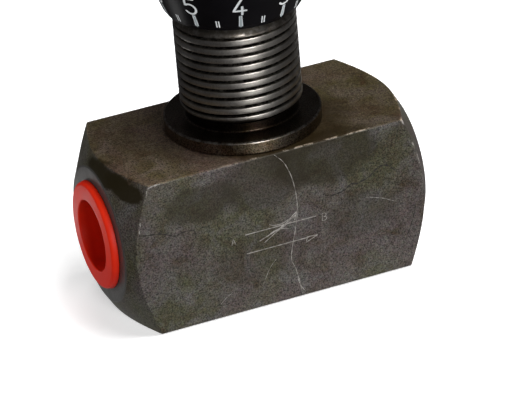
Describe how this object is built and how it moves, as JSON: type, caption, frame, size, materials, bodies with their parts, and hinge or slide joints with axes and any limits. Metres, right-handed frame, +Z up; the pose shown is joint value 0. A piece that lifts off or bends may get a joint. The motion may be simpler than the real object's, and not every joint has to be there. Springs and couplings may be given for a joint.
{
  "type": "flow control valve",
  "caption": "In-line hydraulic flow control valve: square steel body with coned ends and threaded ports, panel-mounting neck, dial knob turning a metering needle, sprung check poppet.",
  "frame": {"origin": "middle of the body's underside, below the needle's axis", "axes": "+Z up along the needle and the neck, +X along the flow axis from port A to port B, so port A and its plug are on the -X side and the front face, with the engraved symbol, looks along -Y"},
  "size_m": [0.0546, 0.029, 0.0684],
  "materials": {
    "phosphated_steel": "zinc-phosphated and oiled, mottled, rubbed bright on edges",
    "phosphated_neck": "phosphated, satin on the thread crests",
    "turned_steel": "finely turned",
    "spring_steel": "drawn wire",
    "black_oxide_screw": "black oxide",
    "brass": "turned",
    "black_rubber": "moulded nitrile",
    "ptfe": "smooth, waxy",
    "black_grip": "satin gloss",
    "black_dial": "black anodised, white-filled engraving",
    "red_plastic": "soft moulded plastic"
  },
  "bodies": {
    "root": {"valve_body": "phosphated_steel", "bonnet": "phosphated_neck", "bonnet_o_ring": "black_rubber", "seat_ring": "turned_steel", "guide_bush": "brass", "wiper_ring": "black_rubber", "spring_seat": "turned_steel", "check_spring": "spring_steel"},
    "poppet": {"check_poppet": "turned_steel"},
    "seal_carrier": {"spindle_o_ring": "black_rubber", "backup_ring_lower": "ptfe", "backup_ring_upper": "ptfe"},
    "needle": {"spindle": "turned_steel", "knob_stop_ring": "spring_steel"},
    "knob": {"knob_shell": "black_grip", "knob_hub": "brass", "scale_ring": "black_dial", "knob_set_screw": "black_oxide_screw", "knob_cap": "black_grip"},
    "plug": {"port_plug_a": "red_plastic"}
  },
  "joints": [
    {"name": "spindle_rise", "type": "slide", "parent": "root", "child": "seal_carrier", "axis": [0, 0, 1], "range_m": [-0.0005, 0.0027]},
    {"name": "knob_turn", "type": "hinge", "parent": "seal_carrier", "child": "needle", "pos_m": [0, 0, 0.03], "axis": [0, 0, 1], "range_deg": [-144, 936]},
    {"name": "knob_pull", "type": "slide", "parent": "needle", "child": "knob", "axis": [0, 0, 1], "range_m": [0, 0.032]},
    {"name": "check_lift", "type": "slide", "parent": "root", "child": "poppet", "axis": [0, 0, -1], "range_m": [0, 0.002], "stiffness_N_per_m": 200, "springref_m": -0.003, "deforming": ["check_spring"]},
    {"name": "plug_pull", "type": "slide", "parent": "root", "child": "plug", "axis": [-1, 0, 0], "range_m": [0, 0.03]}
  ],
  "couplings": [
    {"joint": "spindle_rise", "follows": "knob_turn", "m_per_rad": 0.00015915}
  ]
}
